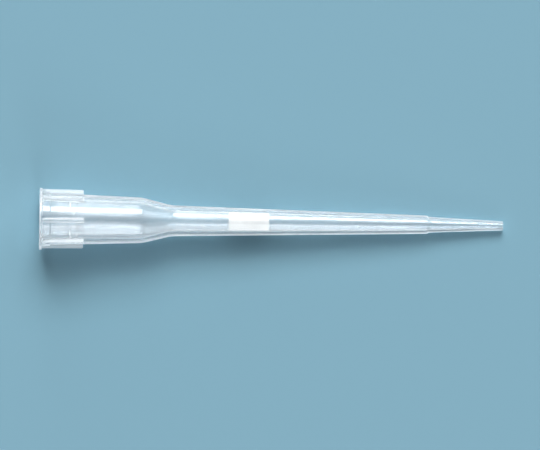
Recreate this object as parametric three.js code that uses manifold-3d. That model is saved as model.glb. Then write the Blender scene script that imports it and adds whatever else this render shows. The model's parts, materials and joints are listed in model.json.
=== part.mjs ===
// A 10 microlitre extended-length filter tip for an air-displacement pipette.
// The tip is one thin-walled moulding with a ribbed hub, and a porous plug is pressed into its bore.
// It lies on its side, as a loose tip comes to rest: on the lip of its mouth and on its point.
// Units are millimetres and +Z is up. The tip runs along +X, from the mouth to the point.

import * as THREE from 'three';
import { mergeVertices } from 'three/addons/utils/BufferGeometryUtils.js';
import Module from 'manifold-3d';

// ---------------------------------------------------------------------------
// Driving dimensions. Stations are distances along the tip's axis from the mouth.
// ---------------------------------------------------------------------------

const TIP_LENGTH = 46.0;
const SEGMENTS = 48;
const ARC_STEPS = 4;

// Outside of the moulding.
const LIP_RADIUS = 3.05;
const LIP_END = 0.24;
const COLLAR_RADIUS = 2.71;
const COLLAR_END = 1.02;
const COLLAR_END_RADIUS = 2.66;
const LEDGE_LENGTH = 0.05;
const BARREL_HUB_RADIUS = 2.58;
const BARREL_END_RADIUS = 2.25;
const SHOULDER_START = 10.15;
const SHOULDER_END = 13.05;
const STEM_START_RADIUS = 1.53;
const STEM_END_RADIUS = 0.905;
const STEP_STATION = 38.45;
const STEP_LENGTH = 0.15;
const POINT_START_RADIUS = 0.78;
const POINT_END_RADIUS = 0.45;

// Inside of the moulding: the lead-in, the nozzle's socket, the air space, the seat and the channel.
const LEAD_IN_RADIUS = 2.45;
const LEAD_IN_END = 0.42;
const SOCKET_MOUTH_RADIUS = 2.16;
const SOCKET_END_RADIUS = 2.03;
const SEAL_START = 2.9;
const SEAL_END = 3.6;
const SEAL_RADIUS = 1.94;
const SEAL_FLANK_LENGTH = 0.2;
const AIR_SPACE_RADIUS = 1.97;
const AIR_SPACE_END_RADIUS = 1.86;
const STEM_BORE_START_RADIUS = 1.03;
const SEAT_END_RADIUS = 0.93;
const POINT_BORE_RADIUS = 0.56;
const ORIFICE_RADIUS = 0.22;

// Rounds between neighbouring stretches.
const EDGE_ROUND = 0.06;
const LIP_BACK_ROUND = 0.03;
const SHOULDER_ROUND = 3.2;
const STEP_ROUND = 0.06;
const SEAL_ROUND = 0.12;

// Ribs on the hub.
const RIB_COUNT = 7;
const RIB_START = 0.12;
const RIB_END = 4.33;
const RIB_CREST_RADIUS = 2.99;
const RIB_CREST_END_RADIUS = 2.95;
const RIB_ROOT_RADIUS = 2.25;
const RIB_CREST_WIDTH = 0.33;
const RIB_DRAFT = THREE.MathUtils.degToRad(4);
const RIB_END_CHAMFER = 0.06;

// Porous plug.
const PLUG_START = 18.7;
const PLUG_END = 22.7;
const PLUG_CLEARANCE = 0.03;
const PLUG_EDGE_ROUND = 0.08;

// Tilt of the axis when the lip and the point both touch the table.
const REST_TILT = Math.atan((LIP_RADIUS - POINT_END_RADIUS) / TIP_LENGTH);

const wasm = await Module();
wasm.setup();

// ---------------------------------------------------------------------------
// Outline helpers. A corner is a station, a radius and the round that it is given.
// ---------------------------------------------------------------------------

function corner(station, radius, round = 0) {
  return { point: new THREE.Vector2(radius, station), round };
}

// Points of the arc that touches both of a corner's sides, or the corner itself where it is sharp.
function roundedCorner(before, here, after) {
  const incoming = here.point.clone().sub(before.point).normalize();
  const outgoing = after.point.clone().sub(here.point).normalize();
  const turn = Math.atan2(incoming.cross(outgoing), incoming.dot(outgoing));
  if (here.round === 0 || turn === 0) {
    return [here.point];
  }
  const setback = here.round * Math.tan(Math.abs(turn) / 2);
  const arcStart = here.point.clone().addScaledVector(incoming, -setback);
  const side = Math.sign(turn);
  const toCentre = new THREE.Vector2(-incoming.y, incoming.x).multiplyScalar(side * here.round);
  const centre = arcStart.clone().add(toCentre);
  const points = [];
  for (let step = 0; step <= ARC_STEPS; step += 1) {
    points.push(arcStart.clone().rotateAround(centre, (turn * step) / ARC_STEPS));
  }
  return points;
}

// Closed outline through a ring of corners, each with its round.
function closedOutline(corners) {
  const count = corners.length;
  const points = corners.flatMap((here, index) => {
    const before = corners[(index + count - 1) % count];
    const after = corners[(index + 1) % count];
    return roundedCorner(before, here, after);
  });
  return [...points, points[0].clone()];
}

// Radius at a station on the straight taper between two corners.
function taperRadius(station, startStation, startRadius, endStation, endRadius) {
  return THREE.MathUtils.mapLinear(station, startStation, endStation, startRadius, endRadius);
}

// ---------------------------------------------------------------------------
// Solid helpers.
// ---------------------------------------------------------------------------

// Turns an outline about the tip's axis, with a flat facet lowermost so that the tip lies steady.
function turnedGeometry(outline) {
  const halfFacet = Math.PI / SEGMENTS;
  const geometry = new THREE.LatheGeometry(outline, SEGMENTS, halfFacet, 2 * Math.PI);
  return geometry.rotateZ(-Math.PI / 2);
}

function toSolid(geometry) {
  const bare = geometry.clone();
  bare.deleteAttribute('normal');
  bare.deleteAttribute('uv');
  const merged = mergeVertices(bare, 1e-4);
  const vertProperties = new Float32Array(merged.attributes.position.array);
  const triVerts = new Uint32Array(merged.index.array);
  return new wasm.Manifold(new wasm.Mesh({ numProp: 3, vertProperties, triVerts }));
}

function toGeometry(solid) {
  const mesh = solid.getMesh();
  const geometry = new THREE.BufferGeometry();
  geometry.setAttribute('position', new THREE.BufferAttribute(mesh.vertProperties, mesh.numProp));
  geometry.setIndex(new THREE.BufferAttribute(mesh.triVerts, 1));
  geometry.computeVertexNormals();
  return geometry;
}

// ---------------------------------------------------------------------------
// The moulding.
// ---------------------------------------------------------------------------

// Outside of the moulding, from the mouth to the point.
function outerCorners() {
  return [
    corner(0, LIP_RADIUS, EDGE_ROUND),
    corner(LIP_END, LIP_RADIUS, LIP_BACK_ROUND),
    corner(LIP_END + LEDGE_LENGTH, COLLAR_RADIUS),
    corner(COLLAR_END, COLLAR_END_RADIUS),
    corner(COLLAR_END + LEDGE_LENGTH, BARREL_HUB_RADIUS),
    corner(SHOULDER_START, BARREL_END_RADIUS, SHOULDER_ROUND),
    corner(SHOULDER_END, STEM_START_RADIUS, SHOULDER_ROUND),
    corner(STEP_STATION, STEM_END_RADIUS, STEP_ROUND),
    corner(STEP_STATION + STEP_LENGTH, POINT_START_RADIUS, STEP_ROUND),
    corner(TIP_LENGTH, POINT_END_RADIUS, EDGE_ROUND),
  ];
}

// Inside of the moulding, from the orifice back to the mouth.
function innerCorners() {
  return [
    corner(TIP_LENGTH, ORIFICE_RADIUS),
    corner(STEP_STATION, POINT_BORE_RADIUS),
    corner(PLUG_END, SEAT_END_RADIUS),
    corner(SHOULDER_END, STEM_BORE_START_RADIUS, SHOULDER_ROUND),
    corner(SHOULDER_START, AIR_SPACE_END_RADIUS, SHOULDER_ROUND),
    corner(SEAL_END + SEAL_FLANK_LENGTH, AIR_SPACE_RADIUS),
    corner(SEAL_END, SEAL_RADIUS, SEAL_ROUND),
    corner(SEAL_START + SEAL_FLANK_LENGTH, SEAL_RADIUS, SEAL_ROUND),
    corner(SEAL_START, SOCKET_END_RADIUS),
    corner(LEAD_IN_END, SOCKET_MOUTH_RADIUS),
    corner(0, LEAD_IN_RADIUS),
  ];
}

// One rib: an upright outline along the axis, drawn in by its draft towards the crest.
function ribGeometry() {
  const outline = new THREE.Shape([
    new THREE.Vector2(RIB_START, RIB_ROOT_RADIUS),
    new THREE.Vector2(RIB_END, RIB_ROOT_RADIUS),
    new THREE.Vector2(RIB_END, RIB_CREST_END_RADIUS - RIB_END_CHAMFER),
    new THREE.Vector2(RIB_END - RIB_END_CHAMFER, RIB_CREST_END_RADIUS),
    new THREE.Vector2(RIB_START, RIB_CREST_RADIUS),
  ]);
  const geometry = new THREE.ExtrudeGeometry(outline, { depth: RIB_CREST_WIDTH, bevelEnabled: false });
  geometry.translate(0, 0, -RIB_CREST_WIDTH / 2);
  const position = geometry.attributes.position;
  for (let index = 0; index < position.count; index += 1) {
    const depthBelowCrest = RIB_CREST_RADIUS - position.getY(index);
    const widening = 1 + (2 * depthBelowCrest * Math.tan(RIB_DRAFT)) / RIB_CREST_WIDTH;
    position.setZ(index, position.getZ(index) * widening);
  }
  return geometry;
}

// The ribs stand evenly round the hub: one straight up, and none straight below the axis.
function ribAngles() {
  const pitch = (2 * Math.PI) / RIB_COUNT;
  return Array.from({ length: RIB_COUNT }, (_, index) => index * pitch + Math.PI / 2);
}

function tipBody() {
  const shell = turnedGeometry(closedOutline([...outerCorners(), ...innerCorners()]));
  let solid = toSolid(shell);
  for (const angle of ribAngles()) {
    solid = solid.add(toSolid(ribGeometry().rotateX(angle)));
  }
  const material = new THREE.MeshStandardMaterial({
    color: 0xdfe9ee,
    roughness: 0.22,
    metalness: 0,
    transparent: true,
    opacity: 0.4,
  });
  const mesh = new THREE.Mesh(toGeometry(solid), material);
  mesh.name = 'tip_body';
  return mesh;
}

// ---------------------------------------------------------------------------
// The porous plug, tapered as its seat is.
// ---------------------------------------------------------------------------

function plugRadius(station) {
  const seatRadius = taperRadius(
    station,
    SHOULDER_END,
    STEM_BORE_START_RADIUS,
    PLUG_END,
    SEAT_END_RADIUS,
  );
  return seatRadius - PLUG_CLEARANCE;
}

function filterPlug() {
  const outline = closedOutline([
    corner(PLUG_START, 0),
    corner(PLUG_START, plugRadius(PLUG_START), PLUG_EDGE_ROUND),
    corner(PLUG_END, plugRadius(PLUG_END), PLUG_EDGE_ROUND),
    corner(PLUG_END, 0),
  ]);
  const material = new THREE.MeshStandardMaterial({ color: 0xf6f5f1, roughness: 0.9, metalness: 0 });
  const mesh = new THREE.Mesh(turnedGeometry(outline.slice(0, -1)), material);
  mesh.name = 'filter_plug';
  return mesh;
}

// ---------------------------------------------------------------------------
// Assembly: the tip lies on its lip and its point, with its box's bottom centre at the origin.
// ---------------------------------------------------------------------------

function restingTip() {
  const tip = new THREE.Group();
  tip.add(tipBody(), filterPlug());
  tip.rotation.y = REST_TILT;
  tip.updateMatrixWorld(true);
  const box = new THREE.Box3().setFromObject(tip, true);
  const centre = box.getCenter(new THREE.Vector3());
  tip.position.set(-centre.x, -centre.y, -box.min.z);
  return tip;
}

const group = new THREE.Group();
group.add(restingTip());

export default group;
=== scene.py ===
"""A filter pipette tip lying on a pale card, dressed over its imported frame.

The tip is one thin-walled moulding in translucent polypropylene, with seven ribs on its hub, and a
white porous plug is pressed into its bore. Both lie along one axis, which dips towards the point.
Sizes are in millimetres along and around that axis, and a finished mesh is in metres.
"""

import json
import logging
import math
from dataclasses import dataclass
from enum import Enum

import bmesh
import bpy
from mathutils import Matrix, Vector, noise


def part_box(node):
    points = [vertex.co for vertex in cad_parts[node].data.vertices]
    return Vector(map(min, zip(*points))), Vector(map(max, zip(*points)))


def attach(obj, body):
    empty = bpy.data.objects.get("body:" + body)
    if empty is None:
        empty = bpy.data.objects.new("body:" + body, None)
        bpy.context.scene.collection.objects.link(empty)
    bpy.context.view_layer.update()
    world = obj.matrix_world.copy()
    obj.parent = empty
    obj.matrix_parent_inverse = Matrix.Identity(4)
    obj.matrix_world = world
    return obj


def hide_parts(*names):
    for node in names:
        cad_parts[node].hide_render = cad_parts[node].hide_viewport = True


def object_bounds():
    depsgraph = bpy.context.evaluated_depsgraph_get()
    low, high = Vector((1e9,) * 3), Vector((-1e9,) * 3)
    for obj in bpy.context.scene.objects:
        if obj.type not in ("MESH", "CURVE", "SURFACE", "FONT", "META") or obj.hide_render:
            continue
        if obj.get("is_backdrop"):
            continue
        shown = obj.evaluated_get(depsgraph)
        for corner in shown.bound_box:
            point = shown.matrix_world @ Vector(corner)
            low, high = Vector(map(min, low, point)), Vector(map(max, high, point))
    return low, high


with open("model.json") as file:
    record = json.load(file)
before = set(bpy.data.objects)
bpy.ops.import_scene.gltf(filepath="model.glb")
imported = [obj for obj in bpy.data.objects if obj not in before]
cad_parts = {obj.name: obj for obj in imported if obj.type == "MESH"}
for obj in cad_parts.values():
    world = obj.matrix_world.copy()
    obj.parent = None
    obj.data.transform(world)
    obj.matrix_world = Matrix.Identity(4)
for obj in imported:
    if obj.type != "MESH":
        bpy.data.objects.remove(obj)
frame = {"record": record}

log = logging.getLogger("pipette_tip")
MM = 0.001

# Millimetres within which two points, or two places along a profile, count as one.
POINT_SLACK = 5e-5
PLACE_SLACK = 1e-5

# Nearly all of a noise's values lie between these two.
NOISE_SPAN = (0.3, 0.7)

# How often light that is guided in the clear wall, or scattered in its haze, is followed.
GUIDED_BOUNCES = 48
HAZE_BOUNCES = 16

Triple = tuple[float, float, float]
Profile = list[tuple[float, float]]
Socket = bpy.types.NodeSocket


class Slot(Enum):
    """The record's material slots."""

    MOULDING = "clear_polypropylene"
    PLUG = "porous_polyethylene"


class Mark(Enum):
    """Names of the marks that the moulding's mesh carries for its material."""

    OUTSIDE = "outside"
    FLANK = "flank"


class Body(Enum):
    """The one rigid body that every piece rides on."""

    ROOT = "root"


class Output(Enum):
    """Where a node tree ends."""

    MATERIAL = "ShaderNodeOutputMaterial"
    WORLD = "ShaderNodeOutputWorld"


class Sum(Enum):
    """What is worked out from two values."""

    ADD = "ADD"
    SUBTRACT = "SUBTRACT"
    MULTIPLY = "MULTIPLY"
    MAXIMUM = "MAXIMUM"
    ABSOLUTE = "ABSOLUTE"


class Ramp(Enum):
    """How a value goes from one end of its range to the other."""

    EVEN = "LINEAR"
    SMOOTH = "SMOOTHSTEP"


@dataclass(frozen=True)
class TipAxis:
    """Where the tip's axis lies in the frame.

    Attributes:
        mouth: centre of the mouth's plane, in metres.
        direction: unit vector from the mouth to the point.
    """

    mouth: Vector
    direction: Vector

    @classmethod
    def from_record(cls, record: dict) -> "TipAxis":
        """Reads the axis from the flat rim of the mouth.

        Args:
            record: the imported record, whose mounts name the rim.

        Returns:
            The axis, in the middle of the object's width.
        """
        rim = next(mount for mount in record["mounts"] if mount["name"] == "mouth_rim")
        on_rim = Vector(rim["pos_m"])
        low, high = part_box("tip_body")
        mouth = Vector((on_rim.x, (low.y + high.y) / 2, on_rim.z))
        return cls(mouth=mouth, direction=-Vector(rim["axis"]).normalized())

    def placing(self) -> Matrix:
        """Returns the matrix from millimetres along the local X axis to metres in the frame."""
        turn = Vector((1, 0, 0)).rotation_difference(self.direction).to_matrix().to_4x4()
        return Matrix.Translation(self.mouth) @ turn @ Matrix.Scale(MM, 4)


@dataclass(frozen=True)
class Corner:
    """A corner of a turned outline.

    Attributes:
        station: distance from the mouth along the axis, in millimetres.
        radius: distance from the axis, in millimetres.
        reach: how far a round reaches along both of its sides, in millimetres, or 0 if it is sharp.
        steps: straight pieces in the round.
    """

    station: float
    radius: float
    reach: float = 0.0
    steps: int = 4


class Outline:
    """A wire in the local XZ half-plane, rounded at its corners and cut into short pieces."""

    def __init__(self, corners: list[Corner], closed: bool) -> None:
        """Draws the wire.

        Args:
            corners: the corners in order.
            closed: whether the last corner joins the first.
        """
        self.mesh = bmesh.new()
        verts = [self.mesh.verts.new((here.station, 0, here.radius)) for here in corners]
        ends = verts[1:] + verts[:1] if closed else verts[1:]
        for start, end in zip(verts, ends):
            self.mesh.edges.new((start, end))
        for vert, here in zip(verts, corners):
            if here.reach > 0:
                self._round(vert, here)

    def _round(self, vert: bmesh.types.BMVert, here: Corner) -> None:
        """Rounds one corner of the wire.

        Args:
            vert: the corner's vertex.
            here: its reach and steps.
        """
        bmesh.ops.bevel(
            self.mesh, geom=[vert], offset=here.reach, offset_type="OFFSET", affect="VERTICES",
            segments=here.steps, profile=0.5, material=-1, clamp_overlap=False,
        )

    def divide(self, longest: float) -> None:
        """Cuts every straight piece that is longer than a limit.

        Args:
            longest: the limit, in millimetres.
        """
        for edge in list(self.mesh.edges):
            cuts = math.ceil(edge.calc_length() / longest) - 1
            if cuts > 0:
                bmesh.ops.subdivide_edges(self.mesh, edges=[edge], cuts=cuts)

    def turned(self, segments: int) -> bmesh.types.BMesh:
        """Turns the wire once round the axis, and closes its seam and poles.

        Args:
            segments: faces round the axis.

        Returns:
            The closed surface, facing outwards.
        """
        bmesh.ops.spin(
            self.mesh, geom=self.mesh.verts[:] + self.mesh.edges[:], cent=(0, 0, 0), axis=(1, 0, 0),
            angle=math.tau, steps=segments, use_merge=True,
        )
        return close_up(self.mesh)

    def sector(self, steps: list[float]) -> bmesh.types.BMesh:
        """Turns the wire through a part of a turn.

        Args:
            steps: the angles of the steps, in radians.

        Returns:
            The open surface.
        """
        ring = self.mesh.verts[:] + self.mesh.edges[:]
        for step in steps:
            turn = bmesh.ops.spin(
                self.mesh, geom=ring, cent=(0, 0, 0), axis=(1, 0, 0), angle=step, steps=1,
            )
            ring = turn["geom_last"]
        return self.mesh

    def profile(self, height: float) -> Profile:
        """Reads the wire's points in order of station, and frees the wire.

        Args:
            height: the radius that counts as the full height.

        Returns:
            The stations, each with its share of the full height.
        """
        found = sorted((vert.co.x, vert.co.z) for vert in self.mesh.verts)
        self.mesh.free()
        return [(station, radius / height) for station, radius in found]


def on_line(place: float, start: tuple[float, float], end: tuple[float, float]) -> float:
    """Returns the value at a place on the straight line between two places with their values."""
    share = (place - start[0]) / (end[0] - start[0])
    return start[1] + share * (end[1] - start[1])


def on_profile(place: float, profile: Profile) -> float:
    """Follows a profile of straight lines.

    Args:
        place: a place along it.
        profile: its points, each a place with its value.

    Returns:
        The value there, or 0 beyond the last point.
    """
    for start, end in zip(profile, profile[1:]):
        if place <= end[0] + PLACE_SLACK:
            return on_line(place, start, end)
    return 0.0


def close_up(mesh: bmesh.types.BMesh) -> bmesh.types.BMesh:
    """Merges a surface's seams and turns its faces outwards.

    Args:
        mesh: the surface, in millimetres.

    Returns:
        The same mesh, closed.
    """
    bmesh.ops.remove_doubles(mesh, verts=mesh.verts, dist=POINT_SLACK)
    bmesh.ops.recalc_face_normals(mesh, faces=mesh.faces)
    return mesh


def repeated(mesh: bmesh.types.BMesh, count: int) -> bmesh.types.BMesh:
    """Sets copies of a sector round the axis until they meet.

    Args:
        mesh: a sector that fills one part in count of a turn.
        count: how many sectors fill the turn.

    Returns:
        The same mesh, closed.
    """
    bmesh.ops.spin(
        mesh, geom=mesh.verts[:] + mesh.edges[:] + mesh.faces[:], cent=(0, 0, 0), axis=(1, 0, 0),
        angle=math.tau * (count - 1) / count, steps=count - 1, use_duplicate=True,
    )
    return close_up(mesh)


def mark_outside(mesh: bmesh.types.BMesh) -> None:
    """Marks the points whose surface faces away from the axis.

    Args:
        mesh: a closed surface round the local X axis.
    """
    layer = mesh.verts.layers.float.new(Mark.OUTSIDE.value)
    mesh.normal_update()
    for vert in mesh.verts:
        away = vert.normal.dot(Vector((0, vert.co.y, vert.co.z)))
        vert[layer] = 1.0 if away > 0 else 0.0


class Tree:
    """The node tree of a material or of the world, with short ways to add and join nodes."""

    def __init__(
        self, owner: bpy.types.Material | bpy.types.World, output: Output = Output.MATERIAL
    ) -> None:
        """Empties a tree, and gives it its output.

        Args:
            owner: the new material or world that the tree belongs to.
            output: where the tree ends.
        """
        self.owner = owner
        owner.use_nodes = True
        self.nodes = owner.node_tree.nodes
        self.nodes.clear()
        self.output = self.add(output.value)

    def add(self, kind: str, **settings: object) -> bpy.types.Node:
        """Adds a node.

        Args:
            kind: the node's type.
            settings: properties of the node.

        Returns:
            The node.
        """
        node = self.nodes.new(kind)
        for key, value in settings.items():
            setattr(node, key, value)
        return node

    def join(self, source: Socket, target: Socket) -> None:
        """Links an output to an input."""
        self.owner.node_tree.links.new(source, target)

    def place(self, stretch: Triple, tilt: float = 0.0) -> Socket:
        """Turns Object coordinates level with the tip, and stretches them.

        Args:
            stretch: scale along each axis, per metre.
            tilt: angle about Y that lays the tip's axis along X.

        Returns:
            The coordinates' output.
        """
        source = self.add("ShaderNodeTexCoord").outputs["Object"]
        mapping = self.add("ShaderNodeMapping")
        mapping.inputs["Rotation"].default_value = (0, tilt, 0)
        mapping.inputs["Scale"].default_value = stretch
        self.join(source, mapping.inputs["Vector"])
        return mapping.outputs["Vector"]

    def cloud(self, place: Socket, detail: float) -> Socket:
        """Makes a noise pattern with one cell in each unit of its coordinates.

        Args:
            place: the coordinates that it follows.
            detail: octaves of finer noise.

        Returns:
            The pattern's factor.
        """
        texture = self.add("ShaderNodeTexNoise")
        texture.inputs["Scale"].default_value = 1.0
        texture.inputs["Detail"].default_value = detail
        self.join(place, texture.inputs["Vector"])
        return texture.outputs["Fac"]

    def between(self, factor: Socket, first: Triple, second: Triple) -> Socket:
        """Mixes two colours.

        Args:
            factor: share of the second colour.
            first: a linear RGB colour.
            second: a linear RGB colour.

        Returns:
            The mixed colour.
        """
        node = self.add("ShaderNodeMix", data_type="RGBA")
        node.inputs["A"].default_value = (*first, 1)
        node.inputs["B"].default_value = (*second, 1)
        self.join(factor, node.inputs["Factor"])
        return node.outputs["Result"]

    def mark(self, mark: Mark) -> Socket:
        """Returns a mark of the mesh, from 0 to 1."""
        return self.add("ShaderNodeAttribute", attribute_name=mark.value).outputs["Fac"]

    def worked_out(self, operation: Sum, first: Socket, second: Socket | float = 0.0) -> Socket:
        """Works out one value from two.

        Args:
            operation: what to work out.
            first: the first value.
            second: the second value, linked or plain.

        Returns:
            The result.
        """
        node = self.add("ShaderNodeMath", operation=operation.value)
        self.join(first, node.inputs[0])
        if isinstance(second, float):
            node.inputs[1].default_value = second
        else:
            self.join(second, node.inputs[1])
        return node.outputs["Value"]

    def mapped(
        self,
        factor: Socket,
        source: tuple[float, float],
        target: tuple[float, float],
        ramp: Ramp = Ramp.SMOOTH,
    ) -> Socket:
        """Goes from one value to another as a factor grows, and keeps to them beyond its range.

        Args:
            factor: what it follows.
            source: the factor's range.
            target: the values at the two ends of that range.
            ramp: how it goes from one to the other.

        Returns:
            The value.
        """
        node = self.add("ShaderNodeMapRange", interpolation_type=ramp.value)
        ends = zip(("From Min", "From Max", "To Min", "To Max"), source + target)
        for name, value in ends:
            node.inputs[name].default_value = value
        self.join(factor, node.inputs["Value"])
        return node.outputs["Result"]

    def relief(self, height: Socket, depth: float) -> Socket:
        """Makes a bump from a height.

        Args:
            height: the height pattern, from 0 to 1.
            depth: metres between its lowest and highest, or less than 0 to turn it inwards.

        Returns:
            The bumped normal.
        """
        node = self.add("ShaderNodeBump")
        node.inputs["Distance"].default_value = depth
        self.join(height, node.inputs["Height"])
        return node.outputs["Normal"]

    def principled(self) -> bpy.types.Node:
        """Adds the main shader, and joins it to the output.

        Returns:
            The shader.
        """
        shader = self.add("ShaderNodeBsdfPrincipled")
        self.join(shader.outputs["BSDF"], self.output.inputs["Surface"])
        return shader


@dataclass(frozen=True)
class PolypropyleneFinish:
    """Natural polypropylene: clear where it is looked through, and milky at its edges and ribs.

    How far a face has turned from the viewer goes from 0, seen straight on, to 1, seen edge-on.

    Attributes:
        tilt: angle about Y that lays the tip's axis along X.
        clearness: share of light that goes through a plain face.
        bend: refractive index.
        haze: scattering inside the wall, per metre.
        polish: least and greatest roughness of the outside.
        bore_roughness: roughness of the inside, which the mould's pins leave less polished.
        glow_turn: how far a face has turned where it starts to glow, and where it glows fully.
        flank_glow: share of glow in a rib's flanks and end.
        flank_milk: share of light that a rib's flanks and end throw back.
        edge_milk: share of light that a face throws back where it has turned away.
        milk_turn: how far a face has turned where that starts, and where it is full.
        cloud_cells: cells of the cloudiness in a metre, along the tip and across it.
        cloud_detail: octaves of finer cloudiness.
        streak_cells: cells of the polishing streaks in a metre, along the tip and across it.
        streak_detail: octaves of finer streaks.
        streak_depth: depth of the streaks, in metres.
        clean: colour where the plastic is clearest.
        milky: colour where it is cloudiest.
        inside: colour of the haze.
        glow: colour of light that comes out of an edge.
    """

    tilt: float
    clearness: float = 0.96
    bend: float = 1.49
    haze: float = 0.22 / MM
    polish: tuple[float, float] = (0.05, 0.11)
    bore_roughness: float = 0.13
    glow_turn: tuple[float, float] = (0.42, 0.68)
    flank_glow: float = 0.7
    flank_milk: float = 0.4
    edge_milk: float = 0.14
    milk_turn: tuple[float, float] = (0.2, 0.42)
    cloud_cells: Triple = (260.0, 900.0, 900.0)
    cloud_detail: float = 2.0
    streak_cells: Triple = (400.0, 9000.0, 9000.0)
    streak_detail: float = 3.0
    streak_depth: float = 0.002 * MM
    clean: Triple = (0.97, 0.985, 0.995)
    milky: Triple = (0.92, 0.95, 0.97)
    inside: Triple = (0.995, 0.998, 1.0)
    glow: Triple = (0.97, 0.985, 1.0)

    def material(self) -> bpy.types.Material:
        """Mixes the plastic, with faint streaks along the tip from the mould's polishing.

        Returns:
            The material.
        """
        tree = Tree(bpy.data.materials.new(Slot.MOULDING.value))
        shader = tree.principled()
        shader.inputs["IOR"].default_value = self.bend
        tree.join(self.through(tree), shader.inputs["Transmission Weight"])
        cloud = tree.cloud(tree.place(self.cloud_cells, self.tilt), self.cloud_detail)
        tree.join(tree.between(cloud, self.clean, self.milky), shader.inputs["Base Color"])
        streaks = tree.cloud(tree.place(self.streak_cells, self.tilt), self.streak_detail)
        polish = tree.mapped(streaks, NOISE_SPAN, self.polish, Ramp.EVEN)
        tree.join(self.roughness(tree, polish), shader.inputs["Roughness"])
        tree.join(tree.relief(streaks, self.streak_depth), shader.inputs["Normal"])
        self.add_glow(tree, shader)
        self.add_haze(tree)
        return tree.owner

    def through(self, tree: Tree) -> Socket:
        """Works out how much light goes through, which is less along edges and rib flanks.

        Args:
            tree: the material's tree.

        Returns:
            The share of light.
        """
        facing = tree.add("ShaderNodeLayerWeight").outputs["Facing"]
        turned = self.clearness - self.edge_milk
        sides = tree.mapped(facing, self.milk_turn, (self.clearness, turned))
        flanks = tree.worked_out(Sum.MULTIPLY, tree.mark(Mark.FLANK), self.flank_milk)
        return tree.worked_out(Sum.SUBTRACT, sides, flanks)

    def roughness(self, tree: Tree, polish: Socket) -> Socket:
        """Makes the bore duller than the outside.

        Args:
            tree: the material's tree.
            polish: roughness of the outside.

        Returns:
            The roughness.
        """
        node = tree.add("ShaderNodeMix", data_type="FLOAT")
        node.inputs["A"].default_value = self.bore_roughness
        tree.join(polish, node.inputs["B"])
        tree.join(tree.mark(Mark.OUTSIDE), node.inputs["Factor"])
        return node.outputs["Result"]

    def add_glow(self, tree: Tree, shader: bpy.types.Node) -> None:
        """Lets light that the wall has guided come out of its edges and its ribs.

        Args:
            tree: the material's tree.
            shader: the clear plastic's shader.
        """
        glow = tree.add("ShaderNodeBsdfTranslucent")
        glow.inputs["Color"].default_value = (*self.glow, 1)
        facing = tree.add("ShaderNodeLayerWeight").outputs["Facing"]
        edges = tree.mapped(facing, self.glow_turn, (0.0, 1.0))
        flanks = tree.worked_out(Sum.MULTIPLY, tree.mark(Mark.FLANK), self.flank_glow)
        mix = tree.add("ShaderNodeMixShader")
        tree.join(tree.worked_out(Sum.MAXIMUM, edges, flanks), mix.inputs[0])
        tree.join(shader.outputs["BSDF"], mix.inputs[1])
        tree.join(glow.outputs["BSDF"], mix.inputs[2])
        tree.join(mix.outputs["Shader"], tree.output.inputs["Surface"])

    def add_haze(self, tree: Tree) -> None:
        """Fills the wall with a thin haze.

        Args:
            tree: the material's tree.
        """
        scatter = tree.add("ShaderNodeVolumeScatter")
        scatter.inputs["Color"].default_value = (*self.inside, 1)
        scatter.inputs["Density"].default_value = self.haze
        tree.join(scatter.outputs["Volume"], tree.output.inputs["Volume"])


@dataclass(frozen=True)
class SinteredFinish:
    """White porous polyethylene: fused grains with open pores between them.

    Attributes:
        grain: width of a grain, in metres.
        depth: how far light soaks in, in metres.
        roughness: roughness of the grains.
        pore_depth: depth of the pores, in metres.
        grain_colour: the plastic's own colour, on the grains.
        pore_shade: darker colour painted into the pores as their shade.
    """

    grain: float = 0.11 * MM
    depth: float = 0.3 * MM
    roughness: float = 0.85
    pore_depth: float = 0.03 * MM
    grain_colour: Triple = (0.93, 0.925, 0.905)
    pore_shade: Triple = (0.74, 0.73, 0.70)

    def material(self) -> bpy.types.Material:
        """Makes the matt, grainy plastic, with shade painted darker into its pores.

        Returns:
            The material.
        """
        tree = Tree(bpy.data.materials.new(Slot.PLUG.value))
        shader = tree.principled()
        shader.inputs["Subsurface Weight"].default_value = 1.0
        shader.inputs["Subsurface Radius"].default_value = (1, 1, 1)
        shader.inputs["Subsurface Scale"].default_value = self.depth
        cells = tree.add("ShaderNodeTexVoronoi")
        cells.inputs["Scale"].default_value = 1 / self.grain
        tree.join(tree.place((1, 1, 1)), cells.inputs["Vector"])
        grains_and_pore_shade = cells.outputs["Distance"]
        # Colour goes darker from each grain's middle to its edge: painted shade in the pores, which the
        # bump below also sinks.
        tree.join(tree.between(grains_and_pore_shade, self.grain_colour, self.pore_shade), shader.inputs["Base Color"])
        shader.inputs["Roughness"].default_value = self.roughness
        tree.join(tree.relief(grains_and_pore_shade, -self.pore_depth), shader.inputs["Normal"])
        return tree.owner


@dataclass(frozen=True)
class CardFinish:
    """Plain pale card.

    Attributes:
        colour: its colour.
        roughness: its roughness.
        gloss: its specular level, which is low for uncoated card.
    """

    colour: Triple = (0.212, 0.392, 0.49)
    roughness: float = 0.9
    gloss: float = 0.1

    def material(self) -> bpy.types.Material:
        """Makes the matt card.

        Returns:
            The material.
        """
        tree = Tree(bpy.data.materials.new("pale_card"))
        shader = tree.principled()
        shader.inputs["Base Color"].default_value = (*self.colour, 1)
        shader.inputs["Roughness"].default_value = self.roughness
        shader.inputs["Specular IOR Level"].default_value = self.gloss
        return tree.owner


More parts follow.
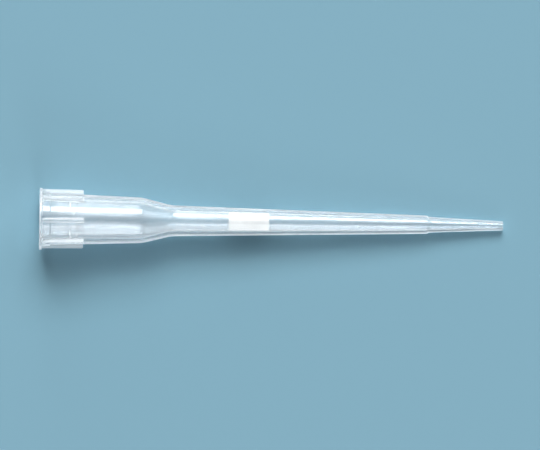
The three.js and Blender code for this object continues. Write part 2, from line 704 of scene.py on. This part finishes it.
def finished(
    name: str, mesh: bmesh.types.BMesh, placing: Matrix, material: bpy.types.Material, crease: float
) -> bpy.types.Object:
    """Puts a bmesh into an object at the origin, with its place in its mesh.

    Args:
        name: the object's name.
        mesh: the shape, in millimetres along the tip's axis.
        placing: the matrix into the frame.
        material: the finish.
        crease: angle in degrees past which an edge is sharp.

    Returns:
        The linked object.
    """
    mesh.transform(placing)
    data = bpy.data.meshes.new(name)
    mesh.to_mesh(data)
    mesh.free()
    data.shade_smooth()
    data.set_sharp_from_angle(angle=math.radians(crease))
    data.materials.append(material)
    piece = bpy.data.objects.new(name, data)
    bpy.context.scene.collection.objects.link(piece)
    return piece


@dataclass
class Rib:
    """One of the hub's ribs: a narrow bar with a round-edged crest, which grows out of the lip.

    Sizes are in millimetres. Its height is a share of the way from the hub's wall to its crest.

    Attributes:
        crest_width: width at the crest.
        root_width: width at the wall.
        crest_round: reach of the rounds along the crest.
        root_round: reach of the rounds along the wall.
        full_height: height of the section that the shares are taken of.
        tip_station: where the rib comes out of the lip.
        full_station: where it has its full width.
        tip_width_share: share of its width that it has where it comes out of the lip.
        crest_start_radius: crest's distance from the axis at the lip.
        crest_radius: crest's distance from the axis where the rib has its full width.
        crest_end_radius: crest's distance from the axis at the end.
        end: where its square end starts.
        end_lead: length before its end that the end's profile takes in.
        end_drop: how far the square end leans out towards its foot.
        end_round: reach of the round over its end.
        end_foot_round: reach of the round at the end's foot.
    """

    crest_width: float = 0.33
    root_width: float = 0.38
    crest_round: float = 0.12
    root_round: float = 0.10
    full_height: float = 0.40
    tip_station: float = 0.22
    full_station: float = 0.6
    tip_width_share: float = 0.45
    crest_start_radius: float = 3.03
    crest_radius: float = 2.99
    crest_end_radius: float = 2.95
    end: float = 4.33
    end_lead: float = 0.27
    end_drop: float = 0.012
    end_round: float = 0.09
    end_foot_round: float = 0.03

    def section(self) -> Profile:
        """Draws the cross-section.

        Returns:
            Places across the rib, each with its share of the full height.
        """
        root, crest = self.root_width / 2, self.crest_width / 2
        beyond = root + 2 * self.root_round
        corners = [
            Corner(-beyond, 0),
            Corner(-root, 0, self.root_round),
            Corner(-crest, self.full_height, self.crest_round),
            Corner(crest, self.full_height, self.crest_round),
            Corner(root, 0, self.root_round),
            Corner(beyond, 0),
        ]
        return Outline(corners, closed=False).profile(self.full_height)

    def end_profile(self) -> Profile:
        """Draws the square end.

        Returns:
            Stations, each with its share of the full height.
        """
        corners = [
            Corner(self.end - self.end_lead, self.full_height),
            Corner(self.end, self.full_height, self.end_round),
            Corner(self.end + self.end_drop, 0, self.end_foot_round),
            Corner(self.end + self.end_round, 0),
        ]
        return Outline(corners, closed=False).profile(self.full_height)

    def crest_at(self, station: float) -> float:
        """Works out the crest's distance from the axis, before the rib's end.

        Args:
            station: distance from the mouth.

        Returns:
            The distance.
        """
        full = (self.full_station, self.crest_radius)
        if station >= self.full_station:
            return on_line(station, full, (self.end, self.crest_end_radius))
        return on_line(max(station, self.tip_station), (self.tip_station, self.crest_start_radius), full)

    def height_share(self, station: float, end: Profile) -> float:
        """Works out how much of the full height the rib has.

        Args:
            station: distance from the mouth.
            end: the profile of its end.

        Returns:
            The share.
        """
        if station <= self.tip_station:
            return 0.0
        if station <= end[0][0]:
            return 1.0
        return on_profile(station, end)

    def width_share(self, station: float) -> float:
        """Returns the share of the full width that the rib has at a station."""
        share = (station - self.tip_station) / (self.full_station - self.tip_station)
        return self.tip_width_share + (1 - self.tip_width_share) * min(1.0, max(0.0, share))


@dataclass
class Moulding:
    """The tip's body: lip, collar, ribbed hub, socket, barrel, shoulder, stem, step and point.

    Sizes are in millimetres. Stations are distances from the mouth along the axis, a radius of the
    outside or of the bore is taken from the axis, and a reach says how far a round goes.

    Attributes:
        axis: where the tip lies.
        rib: the rib that is repeated round the hub.
        length: station of the point's end.
        lip_radius: outside of the lip.
        lip_end: back of the lip.
        collar_radius: outside of the low collar behind the lip.
        collar_end: back of the collar.
        collar_end_radius: outside of the collar at its back.
        collar_pieces: straight pieces that the collar is cut into where the ribs widen.
        ledge: length of the slopes behind the lip and the collar.
        hub_radius: outside of the wall at the back of the collar.
        barrel_end_radius: outside of the wall at the end of the barrel.
        shoulder_start: where the barrel ends.
        shoulder_end: where the stem starts.
        stem_radius: outside of the stem at its start.
        stem_end_radius: outside of the stem at the step.
        step_station: where the step starts.
        step_length: length of the step.
        point_radius: outside of the point at the step.
        point_end_radius: outside of the point at its end.
        lead_in_radius: bore at the mouth.
        lead_in_end: where the lead-in meets the socket.
        socket_mouth_radius: bore at the start of the socket.
        socket_end_radius: bore in front of the sealing ring.
        seal_start: where the sealing ring starts.
        seal_end: where it starts to fall away.
        seal_radius: bore through it.
        seal_flank: length of its slopes.
        air_radius: bore behind the sealing ring.
        air_end_radius: bore at the end of the barrel.
        stem_bore_radius: bore at the start of the stem.
        seat_end_station: back of the plug's seat.
        seat_end_radius: bore there.
        point_bore_radius: bore at the step.
        orifice_radius: bore at the point's end.
        edge_reach: round of the lip and of the collar's foot.
        back_reach: sharper round of the backs of the lip and the collar.
        shoulder_reach: round of the shoulder.
        shoulder_steps: straight pieces in that round.
        point_reach: round of the step and of the point's end.
        orifice_reach: round of the orifice.
        channel_reach: round where the channel starts to narrow towards the orifice.
        seal_foot_reach: round of the sealing ring's foot.
        seal_reach: round of the sealing ring.
        lead_in_reach: round between the lead-in and the socket.
        mouth_reach: round of the bore's edge at the mouth.
        rib_count: how many ribs stand round the hub.
        gap_columns: columns of faces between two ribs.
        longest_piece: longest straight piece of the outline.
        crease: angle in degrees past which an edge is sharp.
    """

    axis: TipAxis
    rib: Rib
    length: float = 46.0
    lip_radius: float = 3.05
    lip_end: float = 0.24
    collar_radius: float = 2.71
    collar_end: float = 1.02
    collar_end_radius: float = 2.66
    collar_pieces: int = 4
    ledge: float = 0.05
    hub_radius: float = 2.58
    barrel_end_radius: float = 2.25
    shoulder_start: float = 10.15
    shoulder_end: float = 13.05
    stem_radius: float = 1.53
    stem_end_radius: float = 0.905
    step_station: float = 38.45
    step_length: float = 0.15
    point_radius: float = 0.78
    point_end_radius: float = 0.45
    lead_in_radius: float = 2.45
    lead_in_end: float = 0.42
    socket_mouth_radius: float = 2.16
    socket_end_radius: float = 2.03
    seal_start: float = 2.9
    seal_end: float = 3.6
    seal_radius: float = 1.88
    seal_flank: float = 0.18
    air_radius: float = 1.97
    air_end_radius: float = 1.86
    stem_bore_radius: float = 1.03
    seat_end_station: float = 22.7
    seat_end_radius: float = 0.93
    point_bore_radius: float = 0.56
    orifice_radius: float = 0.22
    edge_reach: float = 0.06
    back_reach: float = 0.03
    shoulder_reach: float = 0.4
    shoulder_steps: int = 8
    point_reach: float = 0.05
    orifice_reach: float = 0.03
    channel_reach: float = 0.6
    seal_foot_reach: float = 0.05
    seal_reach: float = 0.08
    lead_in_reach: float = 0.08
    mouth_reach: float = 0.04
    rib_count: int = 7
    gap_columns: int = 14
    longest_piece: float = 0.8
    crease: float = 28.0

    def wall_at(self, station: float) -> float:
        """Returns the wall's outside radius between the collar and the shoulder."""
        end = (self.shoulder_start, self.barrel_end_radius)
        return on_line(station, (self.collar_end, self.hub_radius), end)

    def collar_at(self, station: float) -> float:
        """Returns the collar's radius behind the lip."""
        end = (self.collar_end, self.collar_end_radius)
        return on_line(station, (self.lip_end, self.collar_radius), end)

    def hub_corners(self) -> list[Corner]:
        """Sets out the hub, with corners where the ribs widen and where they end.

        Returns:
            The corners behind the lip.
        """
        back = self.lip_end + self.ledge
        widening = (self.rib.full_station - back) / self.collar_pieces
        under_ribs = [back + piece * widening for piece in range(self.collar_pieces + 1)]
        foot = self.collar_end + self.ledge
        ends = [station for station, _ in self.rib.end_profile()]
        return [
            *[Corner(station, self.collar_at(station)) for station in under_ribs],
            Corner(self.collar_end, self.collar_end_radius, self.back_reach),
            Corner(foot, self.wall_at(foot), self.edge_reach),
            *[Corner(station, self.wall_at(station)) for station in ends],
        ]

    def outside(self) -> list[Corner]:
        """Sets out the outside.

        Returns:
            Its corners, from the mouth to the point.
        """
        reach, steps = self.shoulder_reach, self.shoulder_steps
        step_end = self.step_station + self.step_length
        return [
            Corner(0, self.lip_radius, self.edge_reach),
            Corner(self.lip_end, self.lip_radius, self.back_reach),
            *self.hub_corners(),
            Corner(self.shoulder_start, self.barrel_end_radius, reach, steps),
            Corner(self.shoulder_end, self.stem_radius, reach, steps),
            Corner(self.step_station, self.stem_end_radius, self.point_reach),
            Corner(step_end, self.point_radius, self.point_reach),
            Corner(self.length, self.point_end_radius, self.point_reach),
        ]

    def inside(self) -> list[Corner]:
        """Sets out the bore.

        Returns:
            Its corners, from the orifice back to the mouth.
        """
        reach, steps = self.shoulder_reach, self.shoulder_steps
        ring_end = self.seal_end + self.seal_flank
        ring_crest = self.seal_start + self.seal_flank
        return [
            Corner(self.length, self.orifice_radius, self.orifice_reach),
            Corner(self.step_station, self.point_bore_radius, self.channel_reach),
            Corner(self.seat_end_station, self.seat_end_radius),
            Corner(self.shoulder_end, self.stem_bore_radius, reach, steps),
            Corner(self.shoulder_start, self.air_end_radius, reach, steps),
            Corner(ring_end, self.air_radius, self.seal_foot_reach),
            Corner(self.seal_end, self.seal_radius, self.seal_reach),
            Corner(ring_crest, self.seal_radius, self.seal_reach),
            Corner(self.seal_start, self.socket_end_radius, self.seal_foot_reach),
            Corner(self.lead_in_end, self.socket_mouth_radius, self.lead_in_reach),
            Corner(0, self.lead_in_radius, self.mouth_reach),
        ]

    def columns(self) -> list[float]:
        """Divides one sector's turn: narrowly over the rib and evenly beside it.

        Returns:
            The angles of the steps, in radians.
        """
        places = [across / self.hub_radius for across, _ in self.rib.section()]
        over_rib = [there - here for here, there in zip(places, places[1:])]
        gap = (math.tau / self.rib_count - sum(over_rib)) / self.gap_columns
        return over_rib + [gap] * self.gap_columns

    def raise_rib(self, mesh: bmesh.types.BMesh) -> None:
        """Draws the rib out of the outside of the hub's wall, and marks its flanks and its end.

        The mark is full halfway up a flank, and fades to nothing at its foot and at the crest.

        Args:
            mesh: one sector of the body, in millimetres, with its rib straight up.
        """
        mark = mesh.verts.layers.float.new(Mark.FLANK.value)
        section = self.rib.section()
        end = self.rib.end_profile()
        beside = section[-1][0] + PLACE_SLACK
        midwall = (self.hub_radius + self.socket_mouth_radius) / 2
        for vert in mesh.verts:
            station = vert.co.x
            height = self.rib.height_share(station, end)
            wall = math.hypot(vert.co.y, vert.co.z)
            across = math.atan2(-vert.co.y, vert.co.z) * self.hub_radius
            if height > 0 and wall > midwall and abs(across) < beside:
                drawn = across * self.rib.width_share(station)
                base = math.sqrt(wall * wall - drawn * drawn)
                crest = max(wall, self.rib.crest_at(station))
                rise = on_profile(across, section) * height
                vert[mark] = 4 * rise * (1 - rise)
                vert.co = Vector((station, -drawn, base + rise * (crest - base)))

    def build(self) -> bpy.types.Object:
        """Turns the outline through one sector, raises its rib, and repeats it round the axis.

        Returns:
            The finished moulding, in place of its CAD node.
        """
        outline = Outline(self.outside() + self.inside(), closed=True)
        outline.divide(self.longest_piece)
        mesh = outline.sector(self.columns())
        mesh.transform(Matrix.Rotation(self.rib.section()[0][0] / self.hub_radius, 4, "X"))
        self.raise_rib(mesh)
        mesh = repeated(mesh, self.rib_count)
        mark_outside(mesh)
        material = PolypropyleneFinish(tilt=math.asin(self.axis.direction.z)).material()
        piece = finished("tip_body_skin", mesh, self.axis.placing(), material, self.crease)
        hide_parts("tip_body")
        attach(piece, Body.ROOT.value)
        return piece


@dataclass
class FilterPlug:
    """The porous plug in the stem's bore, tapered as its seat is.

    Sizes are in millimetres.

    Attributes:
        axis: where the tip lies.
        start: station of its front.
        end: station of its back.
        start_radius: radius at its front.
        end_radius: radius at its back.
        edge_reach: round of its edges.
        grain: width of a grain.
        unevenness: how far the grains stand out and the pores go in.
        sinking: share of that by which the whole surface is set back from its seat.
        segments: faces round it.
        longest_piece: longest straight piece of its outline.
        crease: angle in degrees past which an edge is sharp.
    """

    axis: TipAxis
    start: float = 18.7
    end: float = 22.7
    start_radius: float = 0.932
    end_radius: float = 0.90
    edge_reach: float = 0.08
    grain: float = 0.11
    unevenness: float = 0.012
    sinking: float = 0.6
    segments: int = 120
    longest_piece: float = 0.06
    crease: float = 60.0

    def roughen(self, mesh: bmesh.types.BMesh) -> None:
        """Sets fused grains into the plug's surface.

        Args:
            mesh: the smooth plug, in millimetres.
        """
        mesh.normal_update()
        for vert in mesh.verts:
            swell = noise.noise(vert.co / self.grain)
            vert.co += vert.normal * (swell - self.sinking) * self.unevenness

    def build(self) -> bpy.types.Object:
        """Turns the plug and roughens it.

        Returns:
            The finished plug, in place of its CAD node.
        """
        corners = [
            Corner(self.start, 0),
            Corner(self.start, self.start_radius, self.edge_reach),
            Corner(self.end, self.end_radius, self.edge_reach),
            Corner(self.end, 0),
        ]
        outline = Outline(corners, closed=False)
        outline.divide(self.longest_piece)
        mesh = outline.turned(self.segments)
        self.roughen(mesh)
        material = SinteredFinish().material()
        piece = finished("filter_plug_skin", mesh, self.axis.placing(), material, self.crease)
        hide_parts("filter_plug")
        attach(piece, Body.ROOT.value)
        return piece


@dataclass(frozen=True)
class Lamp:
    """A rectangular lamp that faces the tip.

    Attributes:
        name: its name.
        past_zenith: degrees from straight up towards the back, or less than 0 towards the front.
        span: angle in degrees that it fills up and down, seen from the tip.
        breadth: its size along the tip, in metres.
        brightness: how bright its face is, where 1 is white.
        along: degrees that it stands off towards the point.
    """

    name: str
    past_zenith: float
    span: float
    breadth: float
    brightness: float
    along: float = 0.0

    def hang(self, middle: Vector, distance: float) -> None:
        """Hangs the lamp in the scene, with the power that makes its face as bright as it says.

        Args:
            middle: the tip's middle.
            distance: metres from there to the lamp.
        """
        lean = Matrix.Rotation(-math.radians(self.past_zenith), 4, "X")
        facing = lean @ Matrix.Rotation(math.radians(self.along), 4, "Y")
        height = 2 * distance * math.tan(math.radians(self.span / 2))
        light = bpy.data.lights.new(self.name, "AREA")
        light.shape = "RECTANGLE"
        light.size = self.breadth
        light.size_y = height
        light.energy = math.pi * self.breadth * height * self.brightness
        lamp = bpy.data.objects.new(self.name, light)
        lamp.location = middle + facing @ Vector((0, 0, distance))
        lamp.rotation_euler = facing.to_euler()
        lamp.visible_camera = False
        bpy.context.scene.collection.objects.link(lamp)


@dataclass
class Studio:
    """Floor, lamps and surrounding light.

    Attributes:
        middle: the tip's middle.
        floor_size: side of the card, in metres.
        floor_drop: how far the card lies below the tip's lowest point, in metres.
        floor_crease: angle in degrees past which an edge of the card is sharp.
        lamp_distance: metres from the tip's middle to every lamp.
        sky: colour of the surroundings.
        shade: how much the surroundings light the card.
        strip: how bright plastic shows the dim strip overhead, where 1 is white.
        strip_edge: how far aside a direction is where the strip starts to fade, and where it ends.
        overhead: how far up a direction points where it starts to be overhead, and where it is.
        low_shift: how much further aside a direction counts where it isn't overhead.
        lamps: the lamps behind the tip, and the dimmer panels in front of it.
    """

    middle: Vector
    floor_size: float = 1.6
    floor_drop: float = 0.01 * MM
    floor_crease: float = 30.0
    lamp_distance: float = 4.0
    sky: Triple = (0.93, 0.96, 1.0)
    shade: float = 0.02
    strip: float = 0.3
    strip_edge: tuple[float, float] = (0.1, 0.4)
    overhead: tuple[float, float] = (0.4, 1.0)
    low_shift: float = 0.5
    lamps: tuple[Lamp, ...] = (
        Lamp("soft_lamp", past_zenith=49.0, span=26.0, breadth=2.4, brightness=12.0),
        Lamp("near_lamp", past_zenith=29.0, span=14.0, breadth=1.2, brightness=5.2),
        Lamp("upper_lamp", past_zenith=16.0, span=12.0, breadth=1.0, brightness=1.9),
        Lamp("halo", past_zenith=75.0, span=26.0, breadth=1.0, brightness=4.5),
        Lamp("front_panel", past_zenith=-40.0, span=40.0, breadth=0.5, brightness=2.6, along=8.0),
        Lamp("low_panel", past_zenith=-66.0, span=14.0, breadth=0.9, brightness=7.0, along=9.0),
        Lamp("side_panel", past_zenith=42.0, span=32.0, breadth=1.0, brightness=4.0, along=28.0),
        Lamp("front_side_panel", past_zenith=-56.0, span=40.0, breadth=0.7, brightness=2.8, along=27.0),
    )

    def lay_floor(self) -> bpy.types.Object:
        """Lays the card that the tip lies on.

        Returns:
            The card.
        """
        mesh = bmesh.new()
        bmesh.ops.create_grid(mesh, x_segments=1, y_segments=1, size=self.floor_size / 2)
        below = Matrix.Translation((0, 0, -self.floor_drop))
        floor = finished("card", mesh, below, CardFinish().material(), self.floor_crease)
        floor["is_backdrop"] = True
        return floor

    def hang_lamps(self) -> None:
        """Hangs every lamp."""
        for lamp in self.lamps:
            lamp.hang(self.middle, self.lamp_distance)

    def light_world(self) -> None:
        """Lights the surroundings dimly, and shows them pale to the camera and in the plastic."""
        world = bpy.data.worlds.new("even_sky")
        bpy.context.scene.world = world
        tree = Tree(world, Output.WORLD)
        background = tree.add("ShaderNodeBackground")
        background.inputs["Color"].default_value = (*self.sky, 1)
        tree.join(background.outputs["Background"], tree.output.inputs["Surface"])
        rays = tree.add("ShaderNodeLightPath").outputs
        plastic = tree.worked_out(Sum.MAXIMUM, rays["Is Glossy Ray"], rays["Is Transmission Ray"])
        mirrored = tree.worked_out(Sum.MULTIPLY, plastic, self.sky_in_gloss(tree))
        pale = tree.worked_out(Sum.MAXIMUM, mirrored, rays["Is Camera Ray"])
        strength = tree.worked_out(Sum.MAXIMUM, pale, self.shade)
        tree.join(strength, background.inputs["Strength"])

    def sky_in_gloss(self, tree: Tree) -> Socket:
        """Works out the sky that plastic shows: full, but for a dim strip overhead.

        Args:
            tree: the world's tree.

        Returns:
            The sky's strength.
        """
        split = tree.add("ShaderNodeSeparateXYZ")
        tree.join(tree.add("ShaderNodeTexCoord").outputs["Generated"], split.inputs["Vector"])
        aside = tree.worked_out(Sum.ABSOLUTE, split.outputs["Y"])
        lower = tree.mapped(split.outputs["Z"], self.overhead, (self.low_shift, 0.0))
        place = tree.worked_out(Sum.ADD, aside, lower)
        return tree.mapped(place, self.strip_edge, (self.strip, 1.0))


@dataclass
class Viewpoint:
    """The camera, high above the tip and a hair past straight overhead.

    Attributes:
        middle: the tip's middle.
        aside: how far beside the middle it aims, in millimetres.
        elevation: degrees from the horizon in front, up and over the tip.
        roll: degrees that the camera is rolled.
        distance: metres from where it aims to the camera.
        lens: focal length, in millimetres.
        sensor: width of the sensor, in millimetres.
        nearest: distance at which it starts to see, in metres.
    """

    middle: Vector
    aside: Triple = (-0.094, -0.21, 0.0)
    elevation: float = 92.5
    roll: float = 1.017
    distance: float = 0.445
    lens: float = 300.0
    sensor: float = 36.0
    nearest: float = 0.01

    def place(self) -> bpy.types.Object:
        """Places the scene's camera.

        Returns:
            The camera.
        """
        height = math.radians(self.elevation)
        away = Vector((0, -math.cos(height), math.sin(height)))
        data = bpy.data.cameras.new("camera")
        data.lens = self.lens
        data.sensor_width = self.sensor
        data.clip_start = self.nearest
        camera = bpy.data.objects.new("camera", data)
        camera.location = self.middle + Vector(self.aside) * MM + away * self.distance
        aim = Matrix.Rotation(math.radians(90 - self.elevation), 4, "X")
        turn = Matrix.Rotation(math.radians(self.roll), 4, "Z")
        camera.rotation_euler = (aim @ turn).to_euler()
        bpy.context.scene.collection.objects.link(camera)
        bpy.context.scene.camera = camera
        return camera


def deepen_light_paths() -> None:
    """Lets light that is guided inside the clear wall be followed until it leaves it."""
    cycles = bpy.context.scene.cycles
    cycles.max_bounces = GUIDED_BOUNCES
    cycles.glossy_bounces = GUIDED_BOUNCES
    cycles.transmission_bounces = GUIDED_BOUNCES
    cycles.volume_bounces = HAZE_BOUNCES


def main() -> None:
    """Builds the tip, its floor, its light and its camera."""
    logging.basicConfig(level=logging.INFO)
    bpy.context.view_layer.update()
    axis = TipAxis.from_record(frame["record"])
    for builder in (Moulding(axis, Rib()), FilterPlug(axis)):
        piece = builder.build()
        log.info("%s: %d faces", piece.name, len(piece.data.polygons))
    low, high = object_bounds()
    middle = (low + high) / 2
    studio = Studio(middle)
    studio.lay_floor()
    studio.hang_lamps()
    studio.light_world()
    Viewpoint(middle).place()
    bpy.context.scene.view_settings.view_transform = "Standard"
    deepen_light_paths()


if __name__ == "__main__":
    main()
